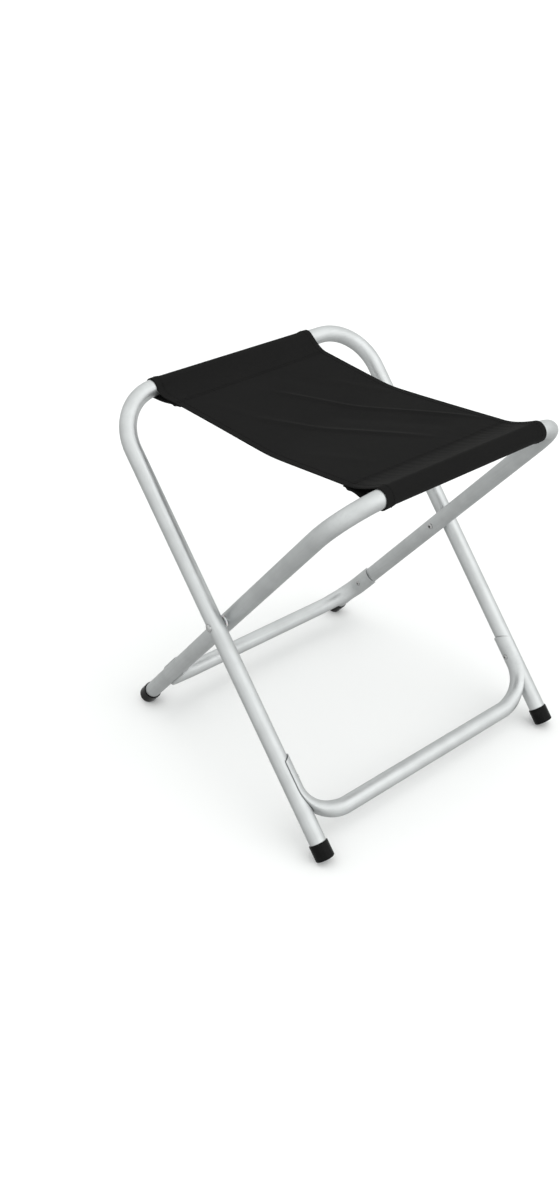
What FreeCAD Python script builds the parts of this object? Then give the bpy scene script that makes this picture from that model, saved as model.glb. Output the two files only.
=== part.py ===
"""Folding camp stool: two bent-tube frames crossed on a pivot, with a fabric sling between their rails.

Lengths are in millimetres and angles in degrees.  +Z is up, the two rails run along Y, and the origin is
on the floor, under the middle of the stool.  The outer frame's rail is at -X and its feet are at +X; the
inner frame is the other way round.  Facing +X, the left side is +Y and the right side is -Y.

Each frame is drawn upright in its own plane, with the pivot at its origin, and is then leaned over.
"""
import FreeCAD, Part
import math
import os
from FreeCAD import Placement, Rotation, Vector

# ---- driving dimensions -------------------------------------------------------------------------------
TUBE_D = 19.0               # outside diameter of every tube
TUBE_WALL = 0.9
LEAN = 40.9                 # each frame's lean from the vertical, stool open
UPPER_LEG = 261.5           # pivot to the rail's axis
LOWER_LEG = 272.0           # pivot to the end of the foot cap
BEND_R = 57.5               # bends between rail and legs, on the tube's axis
OUTER_LEG_Y = 177.0         # outer frame's leg axis, from the middle of the stool
LEG_GAP = 1.8               # gap between an outer and an inner leg

BRACE_HEIGHT = 38.0         # brace's axis above the cap's end, along the leg
BRACE_BEND_R = 42.0
BRACE_BEND_INSET = 9.5      # brace's own leg axis, inwards of the frame's leg axis
BRACE_ROUND_ANGLE = 75.0    # how far round its bend the crushed tube is fully round again
SADDLE_WRAP = 88.0          # half the angle that a crushed end wraps round the leg
SADDLE_EDGE = 111.0         # saddle's end above the cap's end, at its two edges
SADDLE_TIP = 117.0          # the same at its middle
BRACE_RIVET_HEIGHT = 91.0   # brace rivet above the cap's end, along the leg

CAP_D = 21.5
CAP_LENGTH = 19.0
CAP_FLOOR = 3.0             # solid rubber below the tube's end
CAP_ROUND = 2.0             # rounding of the cap's end
CAP_LIP = 0.5               # chamfer of the cap's mouth
FOOT_LAND = 0.8             # depth of the flat that each cap stands on

PIVOT_SHANK_D = 5.0
PIVOT_HEAD_D = 9.0
PIVOT_HEAD_H = 1.9
CLINCH_D = 7.0              # rolled end of the pivot rivet, on the inner face
CLINCH_H = 1.6
CLINCH_BORE_D = 3.0
CLINCH_BORE_DEPTH = 3.5
SPACER_D = 13.0
RUNNING_CLEARANCE = 0.05    # on the radius of a turning fit, and on each side of a turning face

RIVET_SHANK_D = 3.2
RIVET_HEAD_D = 6.5
RIVET_HEAD_H = 1.1
RIVET_BULB_D = 4.8
RIVET_BULB_H = 3.0
MANDREL_D = 1.8
MANDREL_BALL_D = 3.0
MANDREL_RECESS = 0.5        # depth of the broken mandrel below the top of the rivet's head

CLOTH_T = 1.0
CLOTH_CLEARANCE = 0.3       # between the sleeve and the rail
OUTER_SLEEVE_Y = (-123.5, 99.5)     # Y of the two ends of the outer rail's sleeve
INNER_SLEEVE_Y = (-112.0, 107.0)
SLING_DEPTH = 13.5          # lowest point of the seat, below the rails' axes
SEAM_REACH = 38.0           # from a rail's axis to the sleeve's seam
SEAM_ALLOWANCE = 8.0
SIDE_CURVE = 2.5            # how far each side edge curves in at the middle

# ---- dimensions that follow from them -----------------------------------------------------------------
TUBE_R = TUBE_D / 2
BORE_R = TUBE_R - TUBE_WALL
SADDLE_T = 2 * TUBE_WALL
SADDLE_R = TUBE_R + SADDLE_T
INNER_LEG_Y = OUTER_LEG_Y - TUBE_D - LEG_GAP
SIN, COS = math.sin(math.radians(LEAN)), math.cos(math.radians(LEAN))
CAP_R = CAP_D / 2
# The lowest point of a leaning cap is on the rounding of its end.
CAP_DROP = (CAP_R - CAP_ROUND) * SIN + CAP_ROUND * (1 - COS)
PIVOT_Z = LOWER_LEG * COS + CAP_DROP - FOOT_LAND
RAIL_X = UPPER_LEG * SIN
RAIL_Z = PIVOT_Z + UPPER_LEG * COS
FOOT_Z = -LOWER_LEG         # the cap's end in a frame's upright drawing

X, Y, Z = Vector(1, 0, 0), Vector(0, 1, 0), Vector(0, 0, 1)
SIDES = {"left": 1, "right": -1}
OUTER, INNER = -1, 1        # which way a frame's rail leans, along X


# ---- helpers ------------------------------------------------------------------------------------------
def lean(shape, frame):
    """Places a shape drawn upright about the pivot on the outer or the inner frame."""
    placed = shape.copy()
    placed.Placement = Placement(Vector(0, 0, PIVOT_Z), Rotation(Y, frame * LEAN))
    return placed


def mirrored(shape, side):
    """A shape drawn on the left, or its mirror image on the right."""
    return shape if side > 0 else shape.mirror(Vector(), Y)


def line(a, b):
    return Part.LineSegment(a, b).toShape()


def arc(a, middle, b):
    return Part.Arc(a, middle, b).toShape()


def disc(centre, normal, radius):
    return Part.Wire([Part.makeCircle(radius, centre, normal)])


def pipe(edges, radius):
    """A round bar along a smooth chain of edges."""
    path = Part.Wire(edges)
    first = edges[0]
    start = first.Vertexes[0].Point
    section = disc(start, first.tangentAt(first.FirstParameter), radius)
    return path.makePipeShell([section], True, False)


def bar(centre, direction, radius, length):
    return Part.makeCylinder(radius, length, centre, direction)


def leg_bar(leg_y, radius):
    """A bar along the whole of a leg's axis, longer than the leg."""
    return bar(Vector(0, leg_y, FOOT_Z - 10), Z, radius, LOWER_LEG + UPPER_LEG)


def single(shape):
    """The one solid that a boolean operation leaves."""
    solids = shape.removeSplitter().Solids
    assert len(solids) == 1, "expected one solid, found %d" % len(solids)
    assert solids[0].isValid()
    return solids[0]


# ---- frame tubes --------------------------------------------------------------------------------------
def frame_path(leg_y, foot_z):
    """Foot, leg, bend, rail, bend, leg, foot: a U drawn upside down in the YZ plane."""
    corner_y = leg_y - BEND_R
    corner_z = UPPER_LEG - BEND_R
    half = BEND_R * math.sqrt(0.5)
    left_foot, right_foot = Vector(0, leg_y, foot_z), Vector(0, -leg_y, foot_z)
    left_leg, right_leg = Vector(0, leg_y, corner_z), Vector(0, -leg_y, corner_z)
    left_rail, right_rail = Vector(0, corner_y, UPPER_LEG), Vector(0, -corner_y, UPPER_LEG)
    return [line(left_foot, left_leg),
            arc(left_leg, Vector(0, corner_y + half, corner_z + half), left_rail),
            line(left_rail, right_rail),
            arc(right_rail, Vector(0, -corner_y - half, corner_z + half), right_leg),
            line(right_leg, right_foot)]


def frame_tube(leg_y):
    """One bent tube, with its pivot holes and the holes for the brace rivets."""
    path = frame_path(leg_y, FOOT_Z + CAP_FLOOR)
    tube = pipe(path, TUBE_R).cut(pipe(path, BORE_R))
    through = 2 * leg_y + 2 * TUBE_D
    pivot_hole = bar(Vector(0, -through / 2, 0), Y, PIVOT_SHANK_D / 2 + RUNNING_CLEARANCE, through)
    rivet_hole = bar(Vector(0, -leg_y, FOOT_Z + BRACE_RIVET_HEIGHT), Y, RIVET_SHANK_D / 2, 2 * leg_y)
    return single(tube.cut(pivot_hole).cut(rivet_hole))


# ---- braces -------------------------------------------------------------------------------------------
def crush(angle):
    """How flat the brace is at an angle round its bend: 1 on the leg, 0 where the tube is round."""
    s = min(max(angle / BRACE_ROUND_ANGLE, 0), 1)
    return 1 - s * s * (3 - 2 * s)


def brace_section(leg_y, angle, wall):
    """The brace's section at an angle round its left bend, drawn a wall inside its surface.

    The half that faces the middle of the stool is pressed from a half circle to an arc round the leg.
    The other half is drawn out to a straight line through the leg, which the leg is later cut from.
    """
    a = math.radians(angle)
    centre = Vector(0, leg_y - BRACE_BEND_INSET - BRACE_BEND_R, FOOT_Z + BRACE_HEIGHT + BRACE_BEND_R)
    outwards = Vector(0, math.cos(a), -math.sin(a))
    middle = centre + outwards * BRACE_BEND_R
    flat = crush(angle)
    round_r, saddle_r = TUBE_R - wall, SADDLE_R - wall

    def point(inwards, across):
        return middle - outwards * inwards + X * across

    def inner_half(t):
        wrap = math.radians(SADDLE_WRAP) * t
        turn = math.pi / 2 * t
        pressed = (saddle_r * math.cos(wrap) - BRACE_BEND_INSET, saddle_r * math.sin(wrap))
        drawn = (round_r * math.cos(turn), round_r * math.sin(turn))
        return point(*[flat * p + (1 - flat) * d for p, d in zip(pressed, drawn)])

    def leg_half(t):
        wrap = math.radians(SADDLE_WRAP)
        turn = math.pi / 2 * t
        pressed = (saddle_r * math.cos(wrap) - BRACE_BEND_INSET, saddle_r * math.sin(wrap) * math.sin(turn))
        drawn = (-round_r * math.cos(turn), round_r * math.sin(turn))
        return point(*[flat * p + (1 - flat) * d for p, d in zip(pressed, drawn)])

    if flat == 0:
        return Part.Wire([arc(inner_half(-1), inner_half(0), inner_half(1)),
                          arc(leg_half(1), leg_half(0), leg_half(-1))])
    steps = [k / 8 - 1 for k in range(17)]
    inner, outer = Part.BSplineCurve(), Part.BSplineCurve()
    inner.interpolate([inner_half(t) for t in steps])
    outer.interpolate([leg_half(-t) for t in steps])
    return Part.Wire([inner.toShape(), outer.toShape()])


def brace_bend(leg_y, wall, first_angle):
    """The part of the left bend where the section changes from crushed to round."""
    count = 9
    step = (BRACE_ROUND_ANGLE - first_angle) / (count - 1)
    sections = [brace_section(leg_y, first_angle + k * step, wall) for k in range(count)]
    return Part.makeLoft(sections, True, False)


def brace_run(leg_y, radius):
    """The round part of the brace: the run along Y and the ends of its two bends."""
    centre_y = leg_y - BRACE_BEND_INSET - BRACE_BEND_R
    centre_z = FOOT_Z + BRACE_HEIGHT + BRACE_BEND_R

    def on_bend(angle, side):
        a = math.radians(angle)
        return Vector(0, side * (centre_y + BRACE_BEND_R * math.cos(a)), centre_z - BRACE_BEND_R * math.sin(a))

    mid_angle = (BRACE_ROUND_ANGLE + 90) / 2
    edges = [arc(on_bend(BRACE_ROUND_ANGLE, 1), on_bend(mid_angle, 1), on_bend(90, 1)),
             line(on_bend(90, 1), on_bend(90, -1)),
             arc(on_bend(90, -1), on_bend(mid_angle, -1), on_bend(BRACE_ROUND_ANGLE, -1))]
    return pipe(edges, radius)


def brace_saddle(leg_y):
    """The straight crushed end, cut off obliquely so that its middle reaches further up the leg."""
    flat_section = Part.Face(brace_section(leg_y, 0, 0))
    bend_top = BRACE_HEIGHT + BRACE_BEND_R
    saddle = flat_section.extrude(Z * (SADDLE_TIP - bend_top))
    tip = Vector(0, leg_y - SADDLE_R, FOOT_Z + SADDLE_TIP)
    slope = math.degrees(math.atan2(SADDLE_TIP - SADDLE_EDGE, SADDLE_R))
    offcut = Part.makeBox(4 * TUBE_D, 4 * TUBE_D, 2 * TUBE_D, Vector(-2 * TUBE_D, 0, 0))
    offcut.Placement = Placement(tip, Rotation(X, -slope))
    return saddle.cut(offcut)


def brace(leg_y):
    """A U-shaped tube across the legs.  Its crushed ends are cupped over the legs' inner faces."""
    void_start = 12.0       # angle at which the two pressed walls part and leave room between them
    ends = brace_saddle(leg_y).fuse(brace_bend(leg_y, 0, 0))
    void = brace_bend(leg_y, TUBE_WALL, void_start).cut(leg_bar(leg_y, TUBE_R + TUBE_WALL))
    body = brace_run(leg_y, TUBE_R).fuse([mirrored(ends, side) for side in SIDES.values()])
    bore = brace_run(leg_y, BORE_R).fuse([mirrored(void, side) for side in SIDES.values()])
    body = body.cut(leg_bar(leg_y, TUBE_R)).cut(leg_bar(-leg_y, TUBE_R))
    rivet_hole = bar(Vector(0, -leg_y, FOOT_Z + BRACE_RIVET_HEIGHT), Y, RIVET_SHANK_D / 2, 2 * leg_y)
    return single(body.cut(rivet_hole).cut(bore))


# ---- rivets and spacers -------------------------------------------------------------------------------
def dome(centre, direction, diameter, height, rim):
    """A low domed head: a short rim with a spherical cap on it."""
    r, rise = diameter / 2, height - rim
    sphere_r = (r * r + rise * rise) / (2 * rise)
    ball = Part.makeSphere(sphere_r, centre + direction * (height - sphere_r))
    return ball.common(bar(centre, direction, r, height))


def brace_rivet(leg_y):
    """A blind rivet on the left leg: domed head on the saddle, tubular shank, bulb inside the leg."""
    axis = Vector(0, 0, FOOT_Z + BRACE_RIVET_HEIGHT)
    inwards = -Y
    seat = axis + Y * (leg_y - SADDLE_R)
    sunk = 1.0              # the head starts this far inside the saddle and is then cut to its curve
    head = dome(seat - inwards * sunk, inwards, RIVET_HEAD_D, RIVET_HEAD_H + sunk, sunk + 0.3)
    head = head.cut(leg_bar(leg_y, SADDLE_R))
    wall_inside = axis + Y * (leg_y - BORE_R)
    shank_length = SADDLE_R - BORE_R + RIVET_BULB_H
    shank = bar(wall_inside + Y * RIVET_BULB_H, inwards, RIVET_SHANK_D / 2, shank_length)
    bulb = bar(wall_inside + Y * RIVET_BULB_H, inwards, RIVET_BULB_D / 2, RIVET_BULB_H)
    bulb = bulb.common(leg_bar(leg_y, BORE_R))
    body = head.fuse([shank, bulb])
    return single(body.cut(mandrel_core(leg_y)))


def mandrel_core(leg_y):
    """The hole down the middle of a blind rivet, from its bulb to the top of its head."""
    start = Vector(0, leg_y - BORE_R + RIVET_BULB_H, FOOT_Z + BRACE_RIVET_HEIGHT)
    return bar(start, -Y, MANDREL_D / 2, 4 * RIVET_BULB_H)


def mandrel(leg_y):
    """The broken stub that stays in a blind rivet, with its ball end behind the bulb."""
    start = Vector(0, leg_y - BORE_R + RIVET_BULB_H, FOOT_Z + BRACE_RIVET_HEIGHT)
    end_y = leg_y - SADDLE_R - RIVET_HEAD_H + MANDREL_RECESS
    stub = bar(start, -Y, MANDREL_D / 2, start.y - end_y)
    ball = Part.makeSphere(MANDREL_BALL_D / 2, start + Y * (MANDREL_BALL_D / 3))
    ball = ball.cut(bar(start, -Y, MANDREL_BALL_D, MANDREL_BALL_D))
    return single(stub.fuse(ball))


def pivot_rivet():
    """The left pivot: domed head outside the outer leg, shank through both legs, rolled end inside."""
    outside = OUTER_LEG_Y + TUBE_R
    inside = INNER_LEG_Y - TUBE_R - RUNNING_CLEARANCE
    sunk = 1.5
    head = dome(Y * (outside - sunk), Y, PIVOT_HEAD_D, PIVOT_HEAD_H + sunk, sunk + 0.4)
    head = head.cut(leg_bar(OUTER_LEG_Y, TUBE_R))
    shank = bar(Y * inside, Y, PIVOT_SHANK_D / 2, outside - inside)
    rolled = dome(Y * inside, -Y, CLINCH_D, CLINCH_H, 0.5)
    bore = bar(Y * (inside - CLINCH_H), Y, CLINCH_BORE_D / 2, CLINCH_BORE_DEPTH)
    return single(head.fuse([shank, rolled]).cut(bore))


def pivot_spacer():
    """A washer round the left pivot, between the outer and the inner leg."""
    start = Y * (INNER_LEG_Y + TUBE_R + RUNNING_CLEARANCE)
    thickness = LEG_GAP - RUNNING_CLEARANCE
    hole = bar(start, Y, PIVOT_SHANK_D / 2 + RUNNING_CLEARANCE, thickness)
    return single(bar(start, Y, SPACER_D / 2, thickness).cut(hole))


# ---- foot caps ----------------------------------------------------------------------------------------
def foot_cap(leg_y, frame):
    """A rubber cap over the end of the left leg, already leaned, with the flat that it stands on."""
    base = Vector(0, leg_y, FOOT_Z)
    cap = bar(base, Z, CAP_R, CAP_LENGTH)
    end_edge = [e for e in cap.Edges if e.Closed and e.BoundBox.ZMax < FOOT_Z + 1e-6]
    cap = cap.makeFillet(CAP_ROUND, end_edge)
    mouth_edge = [e for e in cap.Edges if e.Closed and e.BoundBox.ZMin > FOOT_Z + CAP_LENGTH - 1e-6]
    cap = cap.makeChamfer(CAP_LIP, mouth_edge)
    cap = lean(cap.cut(bar(base + Z * CAP_FLOOR, Z, TUBE_R, CAP_LENGTH)), frame)
    below_floor = Part.makeBox(1000, 1000, 50, Vector(-500, -500, -50))
    return single(cap.cut(below_floor))


# ---- seat sling ---------------------------------------------------------------------------------------
def tangent_point(start, centre, radius, side):
    """Where a line from start touches a circle in the XZ plane; side +1 is the upper tangent at +X."""
    to_centre = centre - start
    distance = to_centre.Length
    half_angle = math.acos(radius / distance)
    back = Rotation(Y, side * math.degrees(half_angle)).multVec(-to_centre)
    return centre + back * (radius / distance)


def sling_section():
    """The sling's section in the XZ plane: the sagging seat and the loop round each rail, without holes.

    Each loop hangs in line with the seat, so the seat's arc points at the rail's axis where it meets the
    seam.  Returns the filled section, and the wedge between the inner-frame rail and its seam.
    """
    seat_r = (RAIL_X ** 2 + SLING_DEPTH ** 2 - SEAM_REACH ** 2) / (2 * SLING_DEPTH)
    centre = Vector(0, 0, RAIL_Z - SLING_DEPTH + seat_r)
    seam_angle = math.atan2(RAIL_X, seat_r - SLING_DEPTH) - math.atan2(SEAM_REACH, seat_r)
    hem_angle = seam_angle - SEAM_ALLOWANCE / seat_r
    top, under, hem = seat_r - CLOTH_T / 2, seat_r + CLOTH_T / 2, seat_r + 1.5 * CLOTH_T

    def on_seat(radius, angle):
        return centre + Vector(radius * math.sin(angle), 0, -radius * math.cos(angle))

    def flipped(point):
        return Vector(-point.x, point.y, point.z)

    rail = Vector(RAIL_X, 0, RAIL_Z)
    loop_r = TUBE_R + CLOTH_CLEARANCE + CLOTH_T
    upper_seam, lower_seam = on_seat(top, seam_angle), on_seat(hem, seam_angle)
    upper_touch = tangent_point(upper_seam, rail, loop_r, 1)
    lower_touch = tangent_point(lower_seam, rail, loop_r, -1)
    far_side = rail + (rail - on_seat(seat_r, seam_angle)).normalize() * loop_r
    hem_low, hem_high = on_seat(hem, hem_angle), on_seat(under, hem_angle)
    hem_middle = on_seat(hem, (seam_angle + hem_angle) / 2)

    half = [line(upper_seam, upper_touch), arc(upper_touch, far_side, lower_touch),
            line(lower_touch, lower_seam), arc(lower_seam, hem_middle, hem_low), line(hem_low, hem_high)]
    other = [line(flipped(upper_touch), flipped(upper_seam)),
             arc(flipped(lower_touch), flipped(far_side), flipped(upper_touch)),
             line(flipped(lower_seam), flipped(lower_touch)),
             arc(flipped(hem_low), flipped(hem_middle), flipped(lower_seam)),
             line(flipped(hem_high), flipped(hem_low))]
    seat_top = arc(flipped(upper_seam), on_seat(top, 0), upper_seam)
    seat_under = arc(hem_high, on_seat(under, 0), flipped(hem_high))
    section = Part.Face(Part.Wire([seat_top] + half + [seat_under] + other[::-1]))

    inner_r = TUBE_R + CLOTH_CLEARANCE
    tip = on_seat(under, seam_angle)
    corners = [tip, tangent_point(tip, rail, inner_r, 1), rail, tangent_point(tip, rail, inner_r, -1)]
    wedge = Part.Face(Part.makePolygon(corners + corners[:1]))
    return section, wedge


def sling_outline():
    """The sling's outline from above, as a tall block.  Its side edges are straight along the sleeves."""
    out = X * (RAIL_X + 2 * TUBE_D)
    seam_x = RAIL_X - SEAM_REACH
    edges = []
    for outer_y, inner_y, inwards in zip(OUTER_SLEEVE_Y, INNER_SLEEVE_Y, (SIDE_CURVE, -SIDE_CURVE)):
        at_outer, at_inner = Vector(-seam_x, outer_y, 0), Vector(seam_x, inner_y, 0)
        middle = (at_outer + at_inner) / 2 + Y * inwards
        edges += [line(Y * outer_y - out, at_outer), arc(at_outer, middle, at_inner),
                  line(at_inner, out + Y * inner_y)]
    for x, (near_y, far_y) in ((-out, OUTER_SLEEVE_Y), (out, INNER_SLEEVE_Y)):
        edges.append(line(x + Y * near_y, x + Y * far_y))
    wire = Part.Wire(Part.__sortEdges__(edges))
    return Part.Face(wire).extrude(Z * 2 * RAIL_Z)


def seat_sling():
    """One sheet of fabric with a sleeve sewn round each rail."""
    section, wedge = sling_section()
    sling, room = (shape.extrude(Y * 2 * OUTER_LEG_Y) for shape in (section, wedge))
    for shape in (sling, room):
        shape.translate(Y * -OUTER_LEG_Y)
    # A sleeve follows its rail into the bends, so a thicker bar along the rail shapes it there.
    sleeve_box = Vector(60, 300, 60)
    for frame, leg_y in ((OUTER, OUTER_LEG_Y), (INNER, INNER_LEG_Y)):
        thick_bar = lean(pipe(frame_path(leg_y, 0), TUBE_R + CLOTH_CLEARANCE + CLOTH_T), frame)
        corner = Vector(frame * RAIL_X, 0, RAIL_Z) - sleeve_box / 2
        sling = sling.fuse(thick_bar.common(Part.makeBox(*sleeve_box, corner)))
    for frame, leg_y in ((OUTER, OUTER_LEG_Y), (INNER, INNER_LEG_Y)):
        sling = sling.cut(lean(pipe(frame_path(leg_y, 0), TUBE_R + CLOTH_CLEARANCE), frame))
        sling = sling.cut(room if frame == INNER else room.mirror(Vector(), X))
    return single(sling.common(sling_outline()))


# ---- the whole stool ----------------------------------------------------------------------------------
def stool():
    parts = {"seat_sling": seat_sling()}
    for name, frame, leg_y in (("outer", OUTER, OUTER_LEG_Y), ("inner", INNER, INNER_LEG_Y)):
        parts[name + "_frame_tube"] = lean(frame_tube(leg_y), frame)
        parts[name + "_brace"] = lean(brace(leg_y), frame)
        for side_name, side in SIDES.items():
            parts["%s_brace_rivet_%s" % (name, side_name)] = lean(mirrored(brace_rivet(leg_y), side), frame)
            parts["%s_rivet_mandrel_%s" % (name, side_name)] = lean(mirrored(mandrel(leg_y), side), frame)
            parts["%s_foot_cap_%s" % (name, side_name)] = mirrored(foot_cap(leg_y, frame), side)
    for side_name, side in SIDES.items():
        parts["pivot_rivet_" + side_name] = lean(mirrored(pivot_rivet(), side), OUTER)
        parts["pivot_spacer_" + side_name] = lean(mirrored(pivot_spacer(), side), OUTER)
    return parts


os.makedirs("parts", exist_ok=True)
for node, shape in stool().items():
    box = shape.BoundBox
    shape.exportStep("parts/%s.step" % node)
    print("%-28s volume %9.1f  x %7.2f %7.2f  y %7.2f %7.2f  z %7.2f %7.2f" % (
        node, shape.Volume, box.XMin, box.XMax, box.YMin, box.YMax, box.ZMin, box.ZMax))
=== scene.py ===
import math

import bpy
import numpy as np
from mathutils import Matrix, Vector


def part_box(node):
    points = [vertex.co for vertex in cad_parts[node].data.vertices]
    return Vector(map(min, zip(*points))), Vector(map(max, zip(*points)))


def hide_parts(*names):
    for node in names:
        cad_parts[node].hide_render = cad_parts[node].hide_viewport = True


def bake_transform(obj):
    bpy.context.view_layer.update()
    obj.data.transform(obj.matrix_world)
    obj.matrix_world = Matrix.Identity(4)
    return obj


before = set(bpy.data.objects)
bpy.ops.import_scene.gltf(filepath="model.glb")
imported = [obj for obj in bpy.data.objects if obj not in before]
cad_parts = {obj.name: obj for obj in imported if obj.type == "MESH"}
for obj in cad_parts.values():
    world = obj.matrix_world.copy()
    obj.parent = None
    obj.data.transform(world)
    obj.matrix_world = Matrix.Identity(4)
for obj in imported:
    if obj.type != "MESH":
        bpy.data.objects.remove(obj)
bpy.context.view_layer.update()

# Lengths are in metres.  The outer frame's rail is at -X and the inner frame's at +X, and both run along Y.
MM = 0.001

# ---- the frames -----------------------------------------------------------------------------------------
# The first three repeat the CAD's own dimensions, and the places below are read from the CAD's boxes.
TUBE_R = 9.5 * MM
BEND_R = 57.5 * MM
LEAN = math.radians(40.9)
OUTER, INNER = -1, 1
TUBE_NODES = {OUTER: "outer_frame_tube", INNER: "inner_frame_tube"}
RAIL_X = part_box(TUBE_NODES[INNER])[1].x - TUBE_R
RAIL_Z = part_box(TUBE_NODES[INNER])[1].z - TUBE_R
LEG_Y = {side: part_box(node)[1].y - TUBE_R for side, node in TUBE_NODES.items()}

# ---- the sling ------------------------------------------------------------------------------------------
# "near" is the side edge at -Y and "far" the one at +Y.  Pairs are (near, far).
CLOTH_T = 0.6 * MM
PLY = 0.66 * MM                     # distance between the middles of two layers that lie on each other
SLEEVE_R = TUBE_R + 0.25 * MM + CLOTH_T / 2
HEM = 9.0 * MM
HEM_FADE = 3.5 * MM                 # width over which the hem's extra layer thins out
ALLOWANCE = 8.0 * MM
SEAM_SOFTENING = 12                 # times that the line is smoothed at a seam
SEAM_REACH = 7                      # rows on each side of a seam that are smoothed
# How far past its tangent point the top layer clings to the rail, as (share of the width, radians).
DROOP = {OUTER: ((0, 0.15, 0.5, 1), (0.92, 0.30, 0.14, 0.04)), INNER: ((0, 1), (0.06, 0.08))}
EDGE_AT_RAIL = {OUTER: (-123.5 * MM, 99.5 * MM), INNER: (-112.0 * MM, 107.0 * MM)}
EDGE_HOLLOW = (3.0 * MM, 1.5 * MM)  # how far each side edge curves in at the middle
SEAM_X = {OUTER: (-132.5 * MM, -142.0 * MM), INNER: (130.0 * MM, 133.5 * MM)}
# Heights are from the rails' axes.  The seat hangs in a V whose valley runs askew from edge to edge.
VALLEY_X = (17.0 * MM, -32.0 * MM)
VALLEY_DROP = (14.6 * MM, 15.6 * MM)
END_DROP = {OUTER: (2.4 * MM, 3.4 * MM), INNER: (0.4 * MM, -1.0 * MM)}
VALLEY_ROUND = 1.1 * MM
BELLY = 1.6 * MM                    # how far the middle hangs below the side edges
BELLY_REACH = 150 * MM
PUCKER = 0.16 * MM                  # ripples that the stitching draws beside each seam
PUCKER_REACH = 7 * MM
PUCKER_PITCH = 1.45 * MM
PUCKER_DRIFT = 11 * MM
PUCKER_WANDER = 1.3                 # how far the ripples' pitch strays, in radians
# Tension creases: start and end from above, height (a dip is negative) and half width, all in millimetres.
CREASES = (
    ((-112, -28), (127, 105), 1.75, 3.4),
    ((-70, -82), (117, 34), 1.30, 4.4),
    ((-24, -8), (110, 68), -0.80, 12.0),
    ((-86, 50), (-6, 96), 0.50, 6.5),
    ((-118, -96), (-36, -62), 0.35, 7.0),
    ((30, -92), (118, -52), 0.35, 8.0),
    ((-120, 14), (-60, 44), -0.35, 9.0),
)
CREASE_BOW = 0.02                   # as a share of the crease's length
CREASE_FADE = 0.25


def mix(a, b, t):
    return a + (b - a) * t


def smooth(t):
    t = np.clip(t, 0, 1)
    return t * t * (3 - 2 * t)


def edge_y(x, end):
    """Where a side edge runs; end 0 is near and 1 is far."""
    t = (x + RAIL_X) / (2 * RAIL_X)
    hollow = EDGE_HOLLOW[end] * np.clip(4 * t * (1 - t), 0, 1) * (1 - 2 * end)
    t = np.clip(t, 0, 1)
    return mix(EDGE_AT_RAIL[OUTER][end], EDGE_AT_RAIL[INNER][end], t) + hollow


def across(x, w):
    """Y of the cloth at a share w of its width."""
    return mix(edge_y(x, 0), edge_y(x, 1), w)


def ridge(x, y, a, b, height, width):
    """A faint tension crease from a to b, which fades at both ends."""
    a, b = np.array(a) * MM, np.array(b) * MM
    run = b - a
    length = np.linalg.norm(run)
    run = run / length
    along = (x - a[0]) * run[0] + (y - a[1]) * run[1]
    off = (y - a[1]) * run[0] - (x - a[0]) * run[1]
    bow = CREASE_BOW * length * np.sin(np.pi * np.clip(along / length, 0, 1))
    fade = smooth(along / (CREASE_FADE * length)) * smooth((length - along) / (CREASE_FADE * length))
    return height * MM * fade * np.exp(-(((off - bow) / (width * MM)) ** 2))


def seat_height(x, w):
    """Z of the seat's middle surface: two slack slopes that meet in a valley, creases and seam puckers."""
    y = across(x, w)
    low_x, drop = mix(*VALLEY_X, w), mix(*VALLEY_DROP, w)
    outer_end, inner_end = mix(*END_DROP[OUTER], w), mix(*END_DROP[INNER], w)
    outer_slope = -mix(outer_end, drop, (x + RAIL_X) / (low_x + RAIL_X))
    inner_slope = -mix(inner_end, drop, (RAIL_X - x) / (RAIL_X - low_x))
    half_gap = (outer_slope - inner_slope) / 2
    z = (outer_slope + inner_slope) / 2 + np.sqrt(half_gap ** 2 + VALLEY_ROUND ** 2)
    # Between its taut side edges the cloth bellies a little.
    z = z - BELLY * np.sin(np.pi * w) * np.clip(1 - (x / BELLY_REACH) ** 2, 0, 1)
    for start, end, height, width in CREASES:
        z = z + ridge(x, y, start, end, height, width)
    for side in (OUTER, INNER):
        from_seam = np.abs(x - mix(*SEAM_X[side], w))
        pucker = np.sin(y / PUCKER_PITCH + PUCKER_WANDER * np.sin(y / PUCKER_DRIFT) + side)
        z = z + PUCKER * pucker * np.exp(-(from_seam / PUCKER_REACH) ** 2)
    return RAIL_Z + z


def rail_centre(side, y):
    """X, Z and stretch of a rail's section where a plane across Y cuts it, in its bends as well."""
    over = np.maximum(np.abs(y) - (LEG_Y[side] - BEND_R), 0)
    level = np.sqrt(BEND_R ** 2 - over ** 2)
    drop = BEND_R - level
    return side * (RAIL_X - drop * math.sin(LEAN)), RAIL_Z - drop * math.cos(LEAN), BEND_R / level


def touch(px, pz, cx, cz, radius, upper):
    """Angle at which a line from a point left of a circle touches it, above (1) or below (-1)."""
    towards = math.atan2(pz - cz, px - cx)
    return (towards - upper * math.acos(radius / math.hypot(px - cx, pz - cz))) % (2 * math.pi)


def hermite(a, b, leaving, arriving, t):
    """A cubic from a to b that leaves and arrives along the given directions."""
    ends = (2 * t - 3) * t * t
    bows = (t - 1) * t
    return [a[k] + (a[k] - b[k]) * ends + bows * ((t - 1) * leaving[k] + t * arriving[k]) for k in (0, 1)]


# Rows of points along the cloth: the seam allowance, the run under the rail, the loop round it, the run back
# to the seam on top, and the seat between the two seams.
LAYERS = {"allowance": 5, "under": 10, "loop": 30, "top": 16, "seat": 168}
LAYER_GAP = 0.02 * MM
SLACK, SLACK_WAVE, SLACK_PITCH = 0.9 * MM, 0.5 * MM, 23 * MM    # how the run under the rail hangs
SEAM_LEVELLING = 0.6                # how far the top layer follows the seat where it meets the seam


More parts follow.
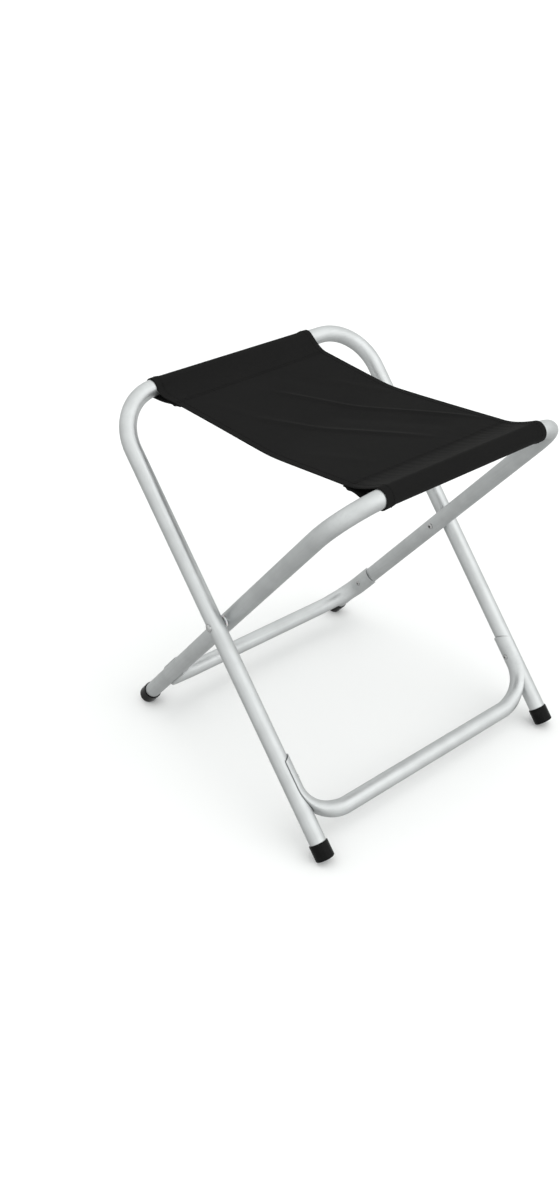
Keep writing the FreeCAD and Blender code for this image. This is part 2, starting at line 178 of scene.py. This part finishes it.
def half_path(side, w, hem):
    """X and Z of one sleeve's line, from the free edge of its allowance to the top of its seam."""
    seam_x = mix(*SEAM_X[side], w)
    y = across(seam_x, w)
    cx, cz, stretch = rail_centre(side, across(side * RAIL_X, w))
    radius = SLEEVE_R * stretch + PLY * hem
    gap = PLY * (1 + 2 * hem) + LAYER_GAP
    free_x = seam_x - side * ALLOWANCE
    inwards = np.linspace(0, 1, LAYERS["allowance"], endpoint=False)
    x0 = mix(free_x, seam_x, inwards)
    z0 = seat_height(x0, w) - gap
    seam_z = seat_height(seam_x, w)
    # Angles are measured with the sleeve's own +X pointing away from the seat.
    below = touch(side * seam_x, seam_z - gap, side * cx, cz, radius, -1) - 2 * math.pi
    above = touch(side * seam_x, seam_z, side * cx, cz, radius, 1) + np.interp(w, *DROOP[side])
    turn = np.linspace(below, above, LAYERS["loop"])
    lx, lz = cx + side * radius * np.cos(turn), cz + radius * np.sin(turn)
    t = np.linspace(0, 1, LAYERS["under"], endpoint=False)
    slack = np.sin(np.pi * t) * (SLACK + SLACK_WAVE * math.sin(y / SLACK_PITCH))
    ux, uz = mix(seam_x, lx[0], t), mix(seam_z - gap, lz[0], t) - slack
    t = np.linspace(0, 1, LAYERS["top"] + 1)[1:]
    seat_slope = (seat_height(seam_x - side * MM, w) - seam_z) / MM
    leaving = np.array([-side * math.sin(above), math.cos(above)])
    run = np.array([seam_x - lx[-1], seam_z - lz[-1]])
    reach = np.linalg.norm(run)
    arriving = mix(run / reach, np.array([-side, seat_slope]), SEAM_LEVELLING)
    tx, tz = hermite((lx[-1], lz[-1]), (seam_x, seam_z), leaving * reach, arriving * reach, t)
    return np.concatenate([x0, ux, lx, tx]), np.concatenate([z0, uz, lz, tz])


def section(w, hem):
    """The whole cloth's line in X and Z at a share w of its width, from one free edge to the other."""
    ox, oz = half_path(OUTER, w, hem)
    ix, iz = half_path(INNER, w, hem)
    x = np.linspace(mix(*SEAM_X[OUTER], w), mix(*SEAM_X[INNER], w), LAYERS["seat"] + 2)[1:-1]
    z = np.concatenate([oz, seat_height(x, w), iz[::-1]])
    # The seams' many layers are stiff, so the line turns there over several millimetres.
    for seam in (len(ox) - 1, len(z) - len(ix)):
        first, last = seam - SEAM_REACH, seam + SEAM_REACH + 1
        for _ in range(SEAM_SOFTENING):
            z[first:last] = (z[first - 1:last - 1] + 2 * z[first:last] + z[first + 1:last + 1]) / 4
    return np.concatenate([ox, x, ix[::-1]]), z


HEM_STATIONS = (0, 0.7, 1.8, 3.4, 5.2, 7.0, 8.6, 10.2, 12.0, 14.2)     # millimetres from a side edge
MIDDLE_STATIONS = 116


def width_stations():
    """Shares of the width where the cloth is sampled, closer together at the hems, and the width."""
    width = EDGE_AT_RAIL[INNER][1] - EDGE_AT_RAIL[INNER][0]
    close = np.array(HEM_STATIONS) * MM / width
    middle = np.linspace(close[-1], 1 - close[-1], MIDDLE_STATIONS)
    return np.concatenate([close[:-1], middle, (1 - close[:-1])[::-1]]), width


def surface():
    """Grid of points [along the cloth, across it, xyz] of the outer layer, its stations and its width."""
    stations, width = width_stations()
    columns = []
    for w in stations:
        from_edge = min(w, 1 - w) * width
        hem = 1 - smooth((from_edge - HEM) / HEM_FADE)
        x, z = section(w, float(hem))
        columns.append(np.stack([x, across(x, w), z], 1))
    return np.stack(columns, 1), stations, width


def normals(grid):
    """Unit normals of a grid of points."""
    along, over = np.gradient(grid, axis=0), np.gradient(grid, axis=1)
    n = np.cross(along, over)
    return n / np.linalg.norm(n, axis=2, keepdims=True)


TAB_OUT, TAB_DOWN, TAB_REACH = 1.7 * MM, 1.2 * MM, 3.2 * MM
EDGE_FADE = 4 * MM


def seam_tabs(grid, fold, end):
    """Lets the sewn end of each seam stand out of the side edge, as a back-tacked corner does."""
    count = LAYERS["allowance"] + LAYERS["under"]
    out = grid.copy()
    for side in (OUTER, INNER):
        rows = np.arange(count) if side == OUTER else np.arange(len(grid) - count, len(grid))
        bump = np.exp(-((grid[rows, :, 0] - SEAM_X[side][end]) / TAB_REACH) ** 2) * fold
        out[rows, :, 1] += bump * TAB_OUT * (2 * end - 1)
        out[rows, :, 2] -= bump * TAB_DOWN
    return out


def hemmed(grid, stations, width):
    """Adds the turned-under hem of both side edges; also gives where each column lies on the flat cloth."""
    n = normals(grid)
    depth = stations * width
    under = np.flatnonzero(depth < HEM)[::-1]
    turned = grid - n * PLY
    outwards = np.array([0, PLY / 2, 0])
    near_fold = grid[:, :1] - n[:, :1] * PLY / 2 - outwards
    far_fold = grid[:, -1:] - n[:, -1:] * PLY / 2 + outwards
    near_hem, far_hem = turned[:, under], turned[:, len(stations) - 1 - under[::-1]]
    full = np.concatenate([near_hem, near_fold, grid, far_fold, far_hem], axis=1)
    flat_w = np.concatenate([-depth[under] - PLY, [-PLY / 2], depth, [width + PLY / 2],
                             width + PLY + depth[under[::-1]]])
    edge = np.concatenate([np.ones(len(under) + 1), np.exp(-depth / EDGE_FADE)])
    near = np.concatenate([edge, np.zeros(len(under) + 1)])
    far = np.concatenate([np.zeros(len(under) + 1), edge[len(under) + 1:][::-1], np.ones(len(under) + 1)])
    return seam_tabs(seam_tabs(full, near, 0), far, 1), flat_w


def mesh_object(name, points, faces, material):
    """A smooth-shaded object from an array of points and a list of faces."""
    mesh = bpy.data.meshes.new(name)
    mesh.from_pydata(points.tolist(), [], faces)
    mesh.update()
    mesh.polygons.foreach_set("use_smooth", [True] * len(mesh.polygons))
    mesh.materials.append(material)
    piece = bpy.data.objects.new(name, mesh)
    bpy.context.scene.collection.objects.link(piece)
    return piece


def thick_sheet(name, grid, flat_w, material):
    """A closed mesh of the cloth's thickness, which keeps where it lies on the flat cloth in an attribute."""
    rows, cols = grid.shape[:2]
    out = normals(grid) * CLOTH_T / 2
    points = np.concatenate([(grid + out).reshape(-1, 3), (grid - out).reshape(-1, 3)])
    index = np.arange(rows * cols).reshape(rows, cols)
    a, b, c, d = index[:-1, :-1], index[1:, :-1], index[1:, 1:], index[:-1, 1:]
    top = np.stack([a, b, c, d], -1).reshape(-1, 4)
    below = top[:, ::-1] + rows * cols
    rim = np.concatenate([index[0, :], index[1:, -1], index[-1, -2::-1], index[-2:0:-1, 0]])
    after = np.roll(rim, -1)
    sides = np.stack([rim, after, after + rows * cols, rim + rows * cols], -1)
    piece = mesh_object(name, points, np.concatenate([top, below, sides]).tolist(), material)
    step = np.linalg.norm(np.diff(grid[:, cols // 2], axis=0), axis=1)
    flat_l = np.concatenate([[0], np.cumsum(step)])
    flat = np.zeros((rows, cols, 3))
    flat[..., 0], flat[..., 1] = flat_l[:, None], flat_w[None, :]
    both = np.concatenate([flat.reshape(-1, 3)] * 2)
    attribute = piece.data.attributes.new("flat", "FLOAT_VECTOR", "POINT")
    attribute.data.foreach_set("vector", both.astype(np.float32).ravel())
    return piece


STITCH_LENGTH = 2.7 * MM
STITCH_PITCH = 3.4 * MM
THREAD_R = 0.26 * MM
STITCH_RINGS, STITCH_SIDES = 7, 6
STITCH_RISE, STITCH_DIVE = 1.1, 1.9     # middle above the cloth, and ends below the middle, in thread radii
STITCH_THINNING = 0.35              # share of its radius that the thread loses towards its ends
HEM_STITCH = 7.2 * MM               # from the side edge to the hem's row of stitches
ROW_GAP = 2                         # rows of the cloth's grid between a seam's two rows of stitches


def stitch(centre, direction, outwards):
    """Points and faces of one stitch: a short thread that dives into the cloth at both ends."""
    rings, around = STITCH_RINGS, STITCH_SIDES
    side = np.cross(direction, outwards)
    points = []
    for k in range(rings):
        t = 2 * k / (rings - 1) - 1
        lift = outwards * THREAD_R * (STITCH_RISE - STITCH_DIVE * t * t)
        middle = centre + direction * STITCH_LENGTH / 2 * t + lift
        fat = THREAD_R * (1 - STITCH_THINNING * t * t)
        for j in range(around):
            angle = 2 * math.pi * j / around
            points.append(middle + fat * (side * math.cos(angle) + outwards * math.sin(angle)))
    faces = []
    for k in range(rings - 1):
        for j in range(around):
            p, q = k * around + j, k * around + (j + 1) % around
            faces.append((p, q, q + around, p + around))
    faces.append(tuple(range(around))[::-1])
    faces.append(tuple((rings - 1) * around + j for j in range(around)))
    return np.array(points), faces


def row_of_stitches(line, outwards):
    """Stitches at an even pitch along a line of points that lie on the cloth."""
    step = np.linalg.norm(np.diff(line, axis=0), axis=1)
    run = np.concatenate([[0], np.cumsum(step)])
    made = []
    for s in np.arange(STITCH_PITCH, run[-1] - STITCH_PITCH / 2, STITCH_PITCH):
        at = [np.interp(s, run, line[:, k]) for k in range(3)]
        ahead = [np.interp(s + STITCH_PITCH / 3, run, line[:, k]) for k in range(3)]
        behind = [np.interp(s - STITCH_PITCH / 3, run, line[:, k]) for k in range(3)]
        n = np.array([np.interp(s, run, outwards[:, k]) for k in range(3)])
        direction = np.array(ahead) - np.array(behind)
        direction /= np.linalg.norm(direction)
        n -= direction * (n @ direction)
        made.append(stitch(np.array(at), direction, n / np.linalg.norm(n)))
    return made


def stitching(grid, stations, width, material):
    """Two rows along each sleeve's seam, seen from above and below, and one along each side hem."""
    n = normals(grid)
    outside = grid + n * CLOTH_T / 2
    seam_row = sum(LAYERS[k] for k in ("allowance", "under", "loop", "top")) - 1
    low_row = LAYERS["allowance"]
    last = len(grid) - 1
    made = []
    outer_rows = (seam_row, seam_row + ROW_GAP, low_row, low_row - ROW_GAP)
    inner_rows = [last - row for row in outer_rows]
    for row in (*outer_rows[:2], *inner_rows[:2], *outer_rows[2:], *inner_rows[2:]):
        made += row_of_stitches(outside[row], n[row])
    for w in (HEM_STITCH / width, 1 - HEM_STITCH / width):
        column = int(np.argmin(np.abs(stations - w)))
        made += row_of_stitches(outside[:, column], n[:, column])
    points, faces, base = [], [], 0
    for p, f in made:
        points.append(p)
        faces += [tuple(i + base for i in face) for face in f]
        base += len(p)
    return mesh_object("sling_stitching", np.concatenate(points), faces, material)


# ---- materials ------------------------------------------------------------------------------------------
class Nodes:
    """Short calls to build one material's node tree."""

    def __init__(self, name):
        self.material = bpy.data.materials.new(name)
        self.material.use_nodes = True
        self.tree = self.material.node_tree
        self.shader = self.tree.nodes["Principled BSDF"]

    def node(self, kind, **settings):
        made = self.tree.nodes.new("ShaderNode" + kind)
        for key, value in settings.items():
            setattr(made, key, value)
        return made

    def link(self, source, target):
        self.tree.links.new(source, target)

    def math(self, operation, a, b=0.0, c=0.0):
        made = self.node("Math", operation=operation)
        for socket, value in zip(made.inputs, (a, b, c)):
            self.feed(value, socket)
        return made.outputs[0]

    def feed(self, value, socket):
        if isinstance(value, bpy.types.NodeSocket):
            self.link(value, socket)
        else:
            socket.default_value = value

    def vector(self, operation, a, b):
        made = self.node("VectorMath", operation=operation)
        self.feed(a, made.inputs[0])
        self.feed(b, made.inputs[1])
        return made.outputs["Value"] if operation == "DOT_PRODUCT" else made.outputs[0]

    def position(self):
        return self.node("TexCoord").outputs["Object"]

    def noise(self, vector, scale, detail=3.0, roughness=0.5):
        made = self.node("TexNoise")
        self.link(vector, made.inputs["Vector"])
        made.inputs["Scale"].default_value = scale
        made.inputs["Detail"].default_value = detail
        made.inputs["Roughness"].default_value = roughness
        return made.outputs["Fac"]

    def ramp(self, value, low, high, to_low=0.0, to_high=1.0):
        made = self.node("MapRange", clamp=True, interpolation_type="SMOOTHSTEP")
        self.link(value, made.inputs["Value"])
        for name, number in (("From Min", low), ("From Max", high), ("To Min", to_low), ("To Max", to_high)):
            made.inputs[name].default_value = number
        return made.outputs["Result"]

    def colours(self, factor, a, b):
        made = self.node("Mix", data_type="RGBA")
        self.feed(factor, made.inputs["Factor"])
        self.feed(a, made.inputs["A"])
        self.feed(b, made.inputs["B"])
        return made.outputs["Result"]

    def painted_shade_mask(self, reach):
        """Ambient occlusion as a mask for painted shade: 1 deep in a corner or a joint line, and 0 where the
        surface is open.
        """
        made = self.node("AmbientOcclusion", samples=8)
        made.inputs["Distance"].default_value = reach
        return self.ramp(made.outputs["AO"], 0.35, 0.85, 1.0, 0.0)

    def bump(self, height, distance, strength=1.0, under=None):
        made = self.node("Bump")
        made.inputs["Distance"].default_value = distance
        made.inputs["Strength"].default_value = strength
        self.link(height, made.inputs["Height"])
        if under is not None:
            self.link(under, made.inputs["Normal"])
        return made.outputs["Normal"]

    def set(self, **sockets):
        for name, value in sockets.items():
            self.feed(value, self.shader.inputs[name.replace("_", " ")])


def grey(value, warmth=0.0):
    """A linear grey, slightly red where warmth is above 0 and slightly green-blue where it is below."""
    return (value * (1 + warmth), value, value * (1 - warmth / 4), 1)


def grain_along(nodes, direction, stretch):
    """Object coordinates squeezed along a direction, so that noise drawn on them runs into long lines."""
    position = nodes.position()
    along = nodes.vector("DOT_PRODUCT", position, direction)
    shift = nodes.node("VectorMath", operation="SCALE")
    shift.inputs[0].default_value = direction
    nodes.link(nodes.math("MULTIPLY", along, 1 - 1 / stretch), shift.inputs["Scale"])
    return nodes.vector("SUBTRACT", position, shift.outputs[0])


def drawn_tube(name, directions, painted_joint_shade, rail_level=None):
    """Satin drawn aluminium: fine lines along the tube, handling marks, dull patches, and painted shade in
    joints and corners.
    """
    m = Nodes(name)
    grains = [m.noise(grain_along(m, d, 90.0), 2600.0, 2.0) for d in directions]
    streaks = [m.noise(grain_along(m, d, 25.0), 420.0, 2.0) for d in directions]
    grain, streak = grains[0], streaks[0]
    if rail_level is not None:
        height = m.node("SeparateXYZ")
        m.link(m.position(), height.inputs[0])
        upper = m.ramp(height.outputs["Z"], rail_level - 0.030, rail_level - 0.012)
        grain = m.math("ADD", m.math("MULTIPLY", grains[0], m.math("SUBTRACT", 1.0, upper)),
                       m.math("MULTIPLY", grains[1], upper))
        streak = m.math("ADD", m.math("MULTIPLY", streaks[0], m.math("SUBTRACT", 1.0, upper)),
                        m.math("MULTIPLY", streaks[1], upper))
    cloud = m.noise(m.position(), 38.0, 4.0)
    marks = m.ramp(m.noise(m.position(), 210.0, 5.0, 0.7), 0.66, 0.74)
    tone = m.colours(m.ramp(cloud, 0.35, 0.65), grey(0.575, -0.022), grey(0.625, -0.022))
    tone = m.colours(m.math("MULTIPLY", m.ramp(streak, 0.45, 0.75), 0.35), tone, grey(0.525, -0.02))
    tone = m.colours(m.math("MULTIPLY", marks, 0.22), tone, grey(0.47, -0.01))
    # painted shade: the tone darkens towards a dark grey in joints and corners that the ambient occlusion
    # finds
    tone = m.colours(m.math("MULTIPLY", m.painted_shade_mask(2.0 * MM), painted_joint_shade), tone, grey(0.08))
    rough = m.math("ADD", m.ramp(grain, 0.3, 0.7, 0.40, 0.50), m.math("MULTIPLY", marks, 0.12))
    m.set(Base_Color=tone, Metallic=0.95, Roughness=rough)
    m.set(Normal=m.bump(grain, 0.02 * MM, 0.6))
    return m.material


def fastener(name, value, rough):
    """Small bright metal part: turning marks, pits, a dull film, and painted shade in its hollows."""
    m = Nodes(name)
    pits = m.noise(m.position(), 1800.0, 4.0, 0.65)
    film = m.noise(m.position(), 300.0, 3.0)
    tone = m.colours(m.ramp(film, 0.35, 0.7), grey(value, -0.01), grey(value * 0.78, 0.01))
    # painted shade: the tone darkens to near black in the part's hollows and joints, where the ambient
    # occlusion finds them
    tone = m.colours(m.math("MULTIPLY", m.painted_shade_mask(2.0 * MM), 0.9), tone, grey(0.03))
    m.set(Base_Color=tone, Metallic=1.0, Roughness=m.ramp(pits, 0.3, 0.75, rough, rough + 0.18))
    m.set(Normal=m.bump(pits, 0.03 * MM, 0.5))
    return m.material


def rubber():
    """Black moulded rubber: fine pores, a soft gloss, and grey scuffs and dust low down."""
    m = Nodes("cap_rubber")
    pores = m.noise(m.position(), 2400.0, 3.0)
    scuff = m.noise(m.position(), 170.0, 6.0, 0.72)
    height = m.node("SeparateXYZ")
    m.link(m.position(), height.inputs[0])
    low = m.ramp(height.outputs["Z"], 1.0 * MM, 9.0 * MM, 1.0, 0.0)
    worn = m.math("MULTIPLY", m.ramp(scuff, 0.48, 0.68), m.math("ADD", m.math("MULTIPLY", low, 0.75), 0.10))
    m.set(Base_Color=m.colours(worn, grey(0.0025), grey(0.036, 0.05)), Specular_IOR_Level=0.10)
    m.set(Roughness=m.math("ADD", m.ramp(pores, 0.3, 0.7, 0.17, 0.25), m.math("MULTIPLY", worn, 0.4)))
    m.set(Normal=m.bump(scuff, 0.08 * MM, 0.35, m.bump(pores, 0.03 * MM, 0.5)))
    return m.material


def nylon():
    """Natural nylon: cloudy white with a soft gloss."""
    m = Nodes("spacer_nylon")
    cloud = m.noise(m.position(), 500.0, 3.0)
    m.set(Base_Color=m.colours(cloud, grey(0.62, 0.02), grey(0.70, 0.02)))
    m.set(Roughness=m.ramp(cloud, 0.3, 0.7, 0.42, 0.55), Subsurface_Weight=0.08)
    m.set(Normal=m.bump(cloud, 0.03 * MM, 0.4))
    return m.material


YARN = 0.62 * MM


def woven(name):
    """Charcoal polyester in plain weave: round yarns over and under, painted shade in the dips between yarns,
    slubs, and rubbed paler places.
    """
    m = Nodes(name)
    flat = m.node("Attribute", attribute_name="flat").outputs["Vector"]
    split = m.node("SeparateXYZ")
    m.link(flat, split.inputs[0])
    u, v = (m.math("DIVIDE", split.outputs[k], YARN) for k in ("X", "Y"))
    cell = m.math("ADD", m.math("FLOOR", u), m.math("FLOOR", v))
    over = m.math("PINGPONG", cell, 1.0)
    du, dv = (m.math("SUBTRACT", m.math("FRACT", k), 0.5) for k in (u, v))
    round_u, round_v = (m.math("COSINE", m.math("MULTIPLY", k, math.pi * 0.92)) for k in (du, dv))
    warp = m.math("MULTIPLY", round_v, m.math("ADD", m.math("MULTIPLY", round_u, 0.45), 0.55))
    weft = m.math("MULTIPLY", round_u, m.math("ADD", m.math("MULTIPLY", round_v, 0.45), 0.55))
    height = m.math("ADD", m.math("MULTIPLY", warp, over),
                    m.math("MULTIPLY", weft, m.math("SUBTRACT", 1.0, over)))
    slubs = m.noise(flat, 900.0, 3.0)
    patch = m.noise(flat, 17.0, 4.0, 0.55)
    rubbed = m.noise(flat, 120.0, 5.0, 0.65)
    # painted shade: the dips between the yarns are coloured darker and the yarns' crowns lighter
    tone = m.colours(m.ramp(height, 0.15, 0.9), grey(0.0050), grey(0.0175, 0.01))
    tone = m.colours(m.math("MULTIPLY", m.ramp(slubs, 0.45, 0.75), 0.4), tone, grey(0.0185, 0.02))
    tone = m.colours(m.math("MULTIPLY", m.ramp(patch, 0.4, 0.7), 0.2), tone, grey(0.0165, 0.04))
    tone = m.colours(m.math("MULTIPLY", m.ramp(rubbed, 0.6, 0.75), 0.2), tone, grey(0.0205, 0.03))
    m.set(Base_Color=tone, Roughness=m.ramp(rubbed, 0.3, 0.7, 0.86, 0.74))
    m.set(Sheen_Weight=0.055, Sheen_Roughness=0.28, Sheen_Tint=(0.95, 0.95, 0.92, 1))
    m.set(Specular_IOR_Level=0.004)
    m.set(Normal=m.bump(height, 0.10 * MM, 0.5, m.bump(rubbed, 0.15 * MM, 0.2)))
    return m.material


def thread():
    """Black sewing thread: plies twisted along the stitch, slightly shinier than the cloth."""
    m = Nodes("sewing_thread")
    wave = m.node("TexWave", wave_type="BANDS", bands_direction="DIAGONAL")
    m.link(m.position(), wave.inputs["Vector"])
    wave.inputs["Scale"].default_value = 1400.0
    fuzz = m.noise(m.position(), 3000.0, 2.0)
    m.set(Base_Color=m.colours(wave.outputs["Fac"], grey(0.007), grey(0.014, 0.01)))
    m.set(Roughness=m.ramp(fuzz, 0.3, 0.7, 0.55, 0.75), Specular_IOR_Level=0.02)
    m.set(Normal=m.bump(wave.outputs["Fac"], 0.05 * MM, 0.5))
    return m.material


def paint_cad_nodes():
    """Gives every CAD node that stays in view its own finish."""
    along_outer = (math.sin(LEAN), 0.0, -math.cos(LEAN))
    along_inner = (-math.sin(LEAN), 0.0, -math.cos(LEAN))
    along_rail = (0.0, 1.0, 0.0)
    finishes = {
        "outer_frame_tube": drawn_tube("outer_tube_aluminium", [along_outer, along_rail], 1.0, RAIL_Z),
        "inner_frame_tube": drawn_tube("inner_tube_aluminium", [along_inner, along_rail], 0.3, RAIL_Z),
        "brace": drawn_tube("brace_aluminium", [along_rail], 0.3),
        "brace_rivet": fastener("blind_rivet_aluminium", 0.54, 0.15),
        # painted shade: the mandrel is coloured near black, standing in for the shade inside the rivet's
        # hollow core
        "rivet_mandrel": fastener("mandrel_steel", 0.04, 0.45),
        "pivot_rivet": fastener("pivot_rivet_zinc", 0.60, 0.22),
        "foot_cap": rubber(),
        "pivot_spacer": nylon(),
    }
    for name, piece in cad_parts.items():
        plain = name
        for word in ("_left", "_right"):
            plain = plain.replace(word, "")
        key = plain if plain in finishes else plain.replace("outer_", "").replace("inner_", "")
        if key in finishes:
            piece.data.materials.clear()
            piece.data.materials.append(finishes[key])


def make_sling():
    """The sling and its thread in place of the CAD solid, hung between the two frames."""
    grid, stations, width = surface()
    sewn, flat_w = hemmed(grid, stations, width)
    sling = thick_sheet("sling_cloth", sewn, flat_w, woven("sling_weave"))
    threads = stitching(grid, stations, width, thread())
    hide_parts("seat_sling")
    for piece in (sling, threads):
        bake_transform(piece)


# ---- camera, floor and light ----------------------------------------------------------------------------
VIEW_AZ, VIEW_EL, VIEW_ROLL = (math.radians(x) for x in (50.19, 32.99, -0.44))
VIEW_DISTANCE = 1.37111
LENS_MM = 36.198
AIM_HEIGHT = 0.20542
AIM_ACROSS, AIM_UP = -0.06769, -0.03161


def add_camera():
    """Looks at the stool from the photograph's side and height."""
    camera = bpy.data.objects.new("camera", bpy.data.cameras.new("camera"))
    bpy.context.scene.collection.objects.link(camera)
    back = Vector((math.sin(VIEW_AZ) * math.cos(VIEW_EL), -math.cos(VIEW_AZ) * math.cos(VIEW_EL),
                   math.sin(VIEW_EL)))
    level = Vector((0, 0, 1)).cross(back).normalized()
    upright = back.cross(level)
    right = level * math.cos(VIEW_ROLL) + upright * math.sin(VIEW_ROLL)
    up = upright * math.cos(VIEW_ROLL) - level * math.sin(VIEW_ROLL)
    aim = Vector((0, 0, AIM_HEIGHT)) + right * AIM_ACROSS + up * AIM_UP
    turn = Matrix((right, up, back)).transposed().to_4x4()
    camera.matrix_world = Matrix.Translation(aim + back * VIEW_DISTANCE) @ turn
    camera.data.sensor_width = 36.0
    camera.data.lens = LENS_MM
    camera.data.clip_start, camera.data.clip_end = 0.01, 50.0
    bpy.context.scene.camera = camera


FLOOR_SIZE = 24.0


def add_floor():
    """Plain white paper."""
    m = Nodes("floor_paper")
    m.set(Base_Color=(0.94, 0.94, 0.94, 1), Roughness=0.9, Specular_IOR_Level=0.1)
    half = FLOOR_SIZE / 2
    corners = np.array([[-half, -half, 0], [half, -half, 0], [half, half, 0], [-half, half, 0]])
    floor = mesh_object("floor", corners, [(0, 1, 2, 3)], m.material)
    floor.visible_glossy = False        # the metal mirrors the tent of light, which is dimmer low down


def add_area(name, location, size, power, aim=(0, 0, 0.2)):
    """A rectangular lamp that points at the middle of the stool."""
    light = bpy.data.objects.new(name, bpy.data.lights.new(name, "AREA"))
    light.data.shape = "RECTANGLE"
    light.data.size, light.data.size_y = size
    light.data.energy = power
    light.location = location
    light.rotation_mode = "QUATERNION"
    light.rotation_quaternion = (Vector(location) - Vector(aim)).to_track_quat("Z", "Y")
    bpy.context.scene.collection.objects.link(light)


SKY_LEVEL = 0.90
SKY_SLOPE = (0.20, -0.02, 0.40)     # the tent of light is brighter overhead and towards +X
SKY_COLOUR = (0.985, 1.0, 0.989, 1)
KEY_PLACE = (1.95, 0.95, 1.80)      # above the stool, on the camera's right
KEY_SIZE = (3.2, 3.2)
KEY_POWER = 12.5


def add_light():
    """A pale tent of light all round and one large soft lamp."""
    world = bpy.data.worlds.new("studio")
    bpy.context.scene.world = world
    world.use_nodes = True
    tree = world.node_tree
    direction = tree.nodes.new("ShaderNodeTexCoord").outputs["Generated"]
    brighter = tree.nodes.new("ShaderNodeVectorMath")
    brighter.operation = "DOT_PRODUCT"
    tree.links.new(direction, brighter.inputs[0])
    brighter.inputs[1].default_value = SKY_SLOPE
    strength = tree.nodes.new("ShaderNodeMath")
    tree.links.new(brighter.outputs["Value"], strength.inputs[0])
    strength.inputs[1].default_value = SKY_LEVEL
    tree.links.new(strength.outputs[0], tree.nodes["Background"].inputs["Strength"])
    tree.nodes["Background"].inputs["Color"].default_value = SKY_COLOUR
    add_area("key", KEY_PLACE, KEY_SIZE, KEY_POWER)
    bpy.context.scene.view_settings.view_transform = "Standard"


add_camera()
add_floor()
add_light()
paint_cad_nodes()
make_sling()
